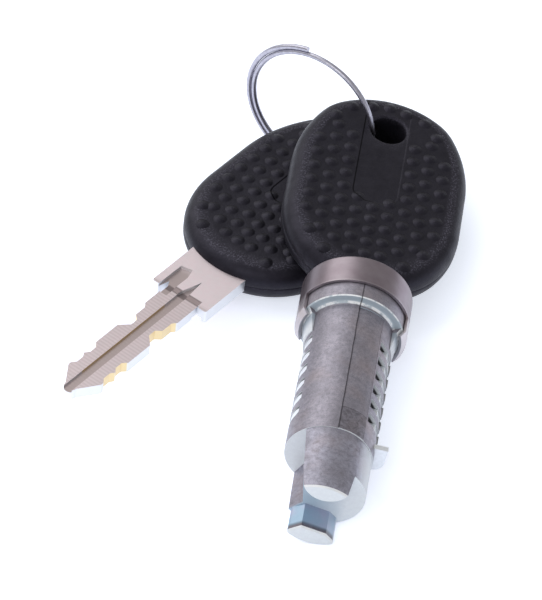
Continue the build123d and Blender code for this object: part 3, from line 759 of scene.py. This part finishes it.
def dome_places(sizes):
    """Centres of the raised dots on one face. They stand in columns; in the column k places from the middle one they
    are at y = COLUMN_START[|k|] + j * COLUMN_PITCH[|k|]. Round the hole a row stands at the reach a + b cos(t) ** 4
    from its centre, and by the blade one follows y = a + b x ** 2. All keep off the rim, the hole and the panel."""
    outline = head_outline(sizes)[0]
    column, step = np.meshgrid(np.arange(1 - len(COLUMN_START), len(COLUMN_START)), np.arange(COLUMN_DOTS))
    along = np.array(COLUMN_START)[np.abs(column)] + np.array(COLUMN_PITCH)[np.abs(column)] * step
    inner = np.stack([column * sizes.column_pitch, along * MM], -1).reshape(-1, 2)
    inner = inner[(outline_distance(inner, outline) > COLUMN_RIM_ROOM * MM) & (inner[:, 1] < COLUMN_END * MM)]
    hole = np.array([0.0, sizes.start + sizes.length - sizes.hole_from_end])
    far_angle = np.radians(np.array(FAR_ROW_TURNS))
    far_reach = (FAR_ROW_REACH[0] + FAR_ROW_REACH[1] * np.cos(far_angle) ** 4) * MM
    far_row = hole + far_reach[:, None] * np.stack([np.cos(far_angle), np.sin(far_angle)], 1)
    near_x = np.array(NEAR_ROW_SIDES)
    near_row = np.stack([near_x, NEAR_ROW_CURVE[0] + NEAR_ROW_CURVE[1] * near_x ** 2], 1) * MM
    places = np.concatenate([inner, far_row, near_row])
    shifted = places + (PATTERN_SHIFT * MM, 0)
    on_face = outline_distance(shifted, outline) > RIM_ROOM * MM
    off_hole = np.linalg.norm(shifted - hole, axis=1) > sizes.hole / 2 + HOLE_ROOM * MM
    beside_panel = np.abs(places[:, 0]) >= sizes.panel_width / 2 + PANEL_ROOM[0] * MM
    below_panel = places[:, 1] <= sizes.panel_low + PANEL_ROOM[1] * MM
    beyond_panel = places[:, 1] > hole[1] + PANEL_END * MM
    return shifted[on_face & off_hole & (beside_panel | below_panel | beyond_panel)]


def dome_points(sizes, places, side):
    """One low dome at each place: height = h * (1 - (r / R) ** 2) ** fall, so its foot runs into the face. Returns
    the points, the quads and the fan of triangles of the first dome, its number of points, and the wear."""
    rings = np.array(DOT_RINGS)
    around = np.linspace(0, 2 * math.pi, DOT_CORNERS + 1)[:-1]
    radius, angle = np.meshgrid(rings * sizes.dome / 2, around, indexing="ij")
    height = sizes.dome_height * np.clip(1 - (radius / (sizes.dome / 2)) ** 2, 0, 1) ** DOT_FALL
    local = np.stack([radius * np.cos(angle), radius * np.sin(angle), height], -1).reshape(-1, 3)
    local = np.concatenate([local, [[0.0, 0.0, sizes.dome_height]]])
    foot = sizes.thickness / 2 - DOT_FOOT * MM
    points = np.zeros((len(places), len(local), 3))
    points[:, :, :2] = places[:, None, :] + local[None, :, :2]
    points[:, :, 2] = side * (foot + local[None, :, 2])
    quads = ring_faces(len(rings), DOT_CORNERS, False)
    corner = np.arange(DOT_CORNERS)
    fan = np.stack([corner, (corner + 1) % DOT_CORNERS, np.full(DOT_CORNERS, len(local) - 1)], 1)
    wear = np.tile(np.clip(local[:, 2] / sizes.dome_height, 0, 1) ** 2 * DOT_WEAR, len(places))
    return points.reshape(-1, 3), quads, fan, len(local), wear


def build_head(name, node, body, matrix, material):
    """One key head: the shell and its dots on both faces in one mesh."""
    sizes = bpy.context.scene.lock_head
    shell, shell_quads, shell_wear = head_shell(sizes)
    places = dome_places(sizes)
    points = [shell]
    quads = [shell_quads]
    fans = []
    wear = [shell_wear]
    count = len(shell)
    for side in (1, -1):
        dots, dot_quads, fan, size, dot_wear = dome_points(sizes, places, side)
        firsts = count + size * np.arange(len(places))[:, None, None]
        quads.append((dot_quads[None, :, ::side] + firsts).reshape(-1, 4))
        fans.append((fan[None, :, ::side] + firsts).reshape(-1, 3))
        points.append(dots)
        wear.append(dot_wear)
        count += len(dots)
    faces = np.concatenate(quads).tolist() + np.concatenate(fans).tolist()
    piece = mesh_piece(name, np.concatenate(points), faces, material, matrix, np.concatenate(wear))
    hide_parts(node)
    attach(piece, body)


# Operators

class LOCK_OT_casting(bpy.types.Operator):
    """Finishes the plug casting as die-cast zinc"""
    bl_idname = "lock.casting"
    bl_label = "Plug casting"

    def execute(self, context):
        material = zinc_casting_material(context.scene.lock_colours, lock_frame())
        finish_nodes(["plug_casting"], material)
        return {"FINISHED"}


class LOCK_OT_face_cap(bpy.types.Operator):
    """Finishes the face cap as satin nickel"""
    bl_idname = "lock.face_cap"
    bl_label = "Face cap"

    def execute(self, context):
        material = nickel_cap_material(context.scene.lock_colours, lock_frame())
        finish_nodes(["face_cap"], material)
        return {"FINISHED"}


class LOCK_OT_wafers(bpy.types.Operator):
    """Finishes the wafers and the retainer plate as plated stampings"""
    bl_idname = "lock.wafers"
    bl_label = "Wafers and retainer"

    def execute(self, context):
        names = sorted(n for n in frame["nodes"] if n.startswith("wafer_") and not n.startswith("wafer_spring"))
        material = wafer_material(context.scene.lock_colours, lock_frame())
        finish_nodes(names + ["retainer_plate"], material)
        return {"FINISHED"}


class LOCK_OT_springs(bpy.types.Operator):
    """Finishes the coil springs and the key ring as spring steel"""
    bl_idname = "lock.springs"
    bl_label = "Springs and ring"

    def execute(self, context):
        names = sorted(n for n in frame["nodes"] if "spring" in n)
        material = spring_wire_material(context.scene.lock_colours, lock_frame())
        finish_nodes(names + ["key_ring"], material)
        return {"FINISHED"}


class LOCK_OT_blades(bpy.types.Operator):
    """Finishes both key blades as milled nickel silver"""
    bl_idname = "lock.blades"
    bl_label = "Key blades"

    def execute(self, context):
        colours = context.scene.lock_colours
        first = nickel_silver_material(colours, lock_frame(), "nickel_silver")
        spare = nickel_silver_material(colours, spare_frame(), "nickel_silver_spare")
        finish_nodes(["key_blade"], first)
        finish_nodes(["spare_key_blade"], spare)
        return {"FINISHED"}


class LOCK_OT_heads(bpy.types.Operator):
    """Builds both moulded key heads with their raised dots"""
    bl_idname = "lock.heads"
    bl_label = "Key heads"

    def execute(self, context):
        colours = context.scene.lock_colours
        for name, node, body, matrix in (("key_head_moulding", "key_head", "key", lock_frame()),
                                         ("spare_key_head_moulding", "spare_key_head", "spare_key", spare_frame())):
            plastic = black_plastic_material(colours, matrix, f"moulded_polypropylene_{body}")
            build_head(name, node, body, matrix, plastic)
        return {"FINISHED"}


class LOCK_OT_stage(bpy.types.Operator):
    """Adds the table, the lamps, the pale surroundings and the camera"""
    bl_idname = "lock.stage"
    bl_label = "Stage"

    def execute(self, context):
        build_table(context)
        build_world(context)
        build_lamps(context)
        build_camera(context)
        context.scene.view_settings.view_transform = "Standard"
        return {"FINISHED"}


def build_table(context):
    """A large pale table just under the lowest point of the set. It glows a little where the camera and mirrors see
    it, so that it looks white and keeps its shadows."""
    colour = context.scene.lock_colours.table
    low = CAD_BOX[0].z - TABLE_GAP * MM
    corners = [(x * TABLE_REACH, y * TABLE_REACH, low) for x, y in ((-1, -1), (1, -1), (1, 1), (-1, 1))]
    mesh = bpy.data.meshes.new("table")
    mesh.from_pydata(corners, [], [(0, 1, 2, 3)])
    table = bpy.data.objects.new("table", mesh)
    context.scene.collection.objects.link(table)
    material, tree = new_material("pale_table")
    path = add_node(tree, "LightPath")
    seen = add_node(tree, "Math", path.outputs["Is Camera Ray"], path.outputs["Is Glossy Ray"], operation="MAXIMUM")
    shader = add_node(tree, "BsdfPrincipled", Base_Color=colour, Roughness=0.9, Specular_IOR_Level=0.1,
                      Emission_Color=colour, Emission_Strength=overlap(tree, seen, TABLE_GLOW))
    add_node(tree, "OutputMaterial", shader)
    mesh.materials.append(material)


def build_world(context):
    """An even grey room that the camera sees white."""
    world = bpy.data.worlds.new("pale_room")
    context.scene.world = world
    world.use_nodes = True
    tree = world.node_tree
    tree.nodes.clear()
    path = add_node(tree, "LightPath")
    strength = add_node(tree, "Math", path.outputs["Is Camera Ray"], ROOM_LIGHT, operation="MAXIMUM")
    add_node(tree, "OutputWorld", add_node(tree, "Background", grey(1.0), strength))


def build_lamps(context):
    """A broad lamp over the back left and a weaker one over the front, both soft and turned to the set."""
    for name, place, size, power in LAMPS:
        lamp = bpy.data.lights.new(name, "AREA")
        lamp.size = size
        lamp.energy = power
        holder = bpy.data.objects.new(name, lamp)
        holder.location = place
        holder.rotation_euler = (-Vector(place)).to_track_quat("-Z", "Y").to_euler()
        context.scene.collection.objects.link(holder)


def build_camera(context):
    """The camera where the photo's perspective puts it: it looks from behind the tail, from well above."""
    azimuth = math.radians(9.717)
    elevation = math.radians(44.636)
    roll = math.radians(-2.363)
    distance = 0.75888
    focal_pixels = 3901.99
    origin_pixel = (357.25, 295.85)
    level_x = Vector((LOCK_Y.y, -LOCK_Y.x, 0)).normalized()
    nose_up = math.asin(LOCK_Y.z)
    back = Vector((math.sin(azimuth) * math.cos(elevation), -math.cos(azimuth) * math.cos(elevation),
                   math.sin(elevation)))
    right = Vector((0, 0, 1)).cross(back).normalized()
    above = back.cross(right)
    turned_right = right * math.cos(roll) + above * math.sin(roll)
    turned_above = above * math.cos(roll) - right * math.sin(roll)
    sideways = (origin_pixel[0] - PICTURE[0] / 2) / focal_pixels * distance
    upwards = -(origin_pixel[1] - PICTURE[1] / 2) / focal_pixels * distance
    place = back * distance - turned_right * sideways - turned_above * upwards
    tilt = Matrix.Rotation(nose_up, 3, level_x)
    camera_data = bpy.data.cameras.new("camera")
    camera = bpy.data.objects.new("camera", camera_data)
    camera.matrix_world = axes_matrix(tilt @ turned_right, tilt @ turned_above, tilt @ back, tilt @ place)
    camera_data.sensor_fit = "HORIZONTAL"
    camera_data.sensor_width = 36
    camera_data.lens = camera_data.sensor_width * focal_pixels / PICTURE[0]
    camera_data.clip_start = 0.01
    camera_data.clip_end = 20
    context.scene.collection.objects.link(camera)
    context.scene.camera = camera


class LOCK_PT_panel(bpy.types.Panel):
    """Lists the steps, the head's sizes and the colours"""
    bl_idname = "LOCK_PT_panel"
    bl_label = "Lock cylinder"
    bl_space_type = "VIEW_3D"
    bl_region_type = "UI"
    bl_category = "Lock"

    def draw(self, context):
        for step in STEPS:
            self.layout.operator(step.bl_idname)
        for group in (context.scene.lock_head, context.scene.lock_colours):
            box = self.layout.box()
            for name in group.__annotations__:
                box.prop(group, name)


STEPS = (LOCK_OT_casting, LOCK_OT_face_cap, LOCK_OT_wafers, LOCK_OT_springs, LOCK_OT_blades, LOCK_OT_heads,
         LOCK_OT_stage)
CLASSES = (LockHeadSizes, LockColours) + STEPS + (LOCK_PT_panel,)


def register():
    for kind in CLASSES:
        bpy.utils.register_class(kind)
    bpy.types.Scene.lock_head = PointerProperty(type=LockHeadSizes)
    bpy.types.Scene.lock_colours = PointerProperty(type=LockColours)


def unregister():
    del bpy.types.Scene.lock_colours
    del bpy.types.Scene.lock_head
    for kind in reversed(CLASSES):
        bpy.utils.unregister_class(kind)


def main():
    register()
    bpy.ops.lock.casting()
    bpy.ops.lock.face_cap()
    bpy.ops.lock.wafers()
    bpy.ops.lock.springs()
    bpy.ops.lock.blades()
    bpy.ops.lock.heads()
    bpy.ops.lock.stage()


if __name__ == "__main__":
    main()
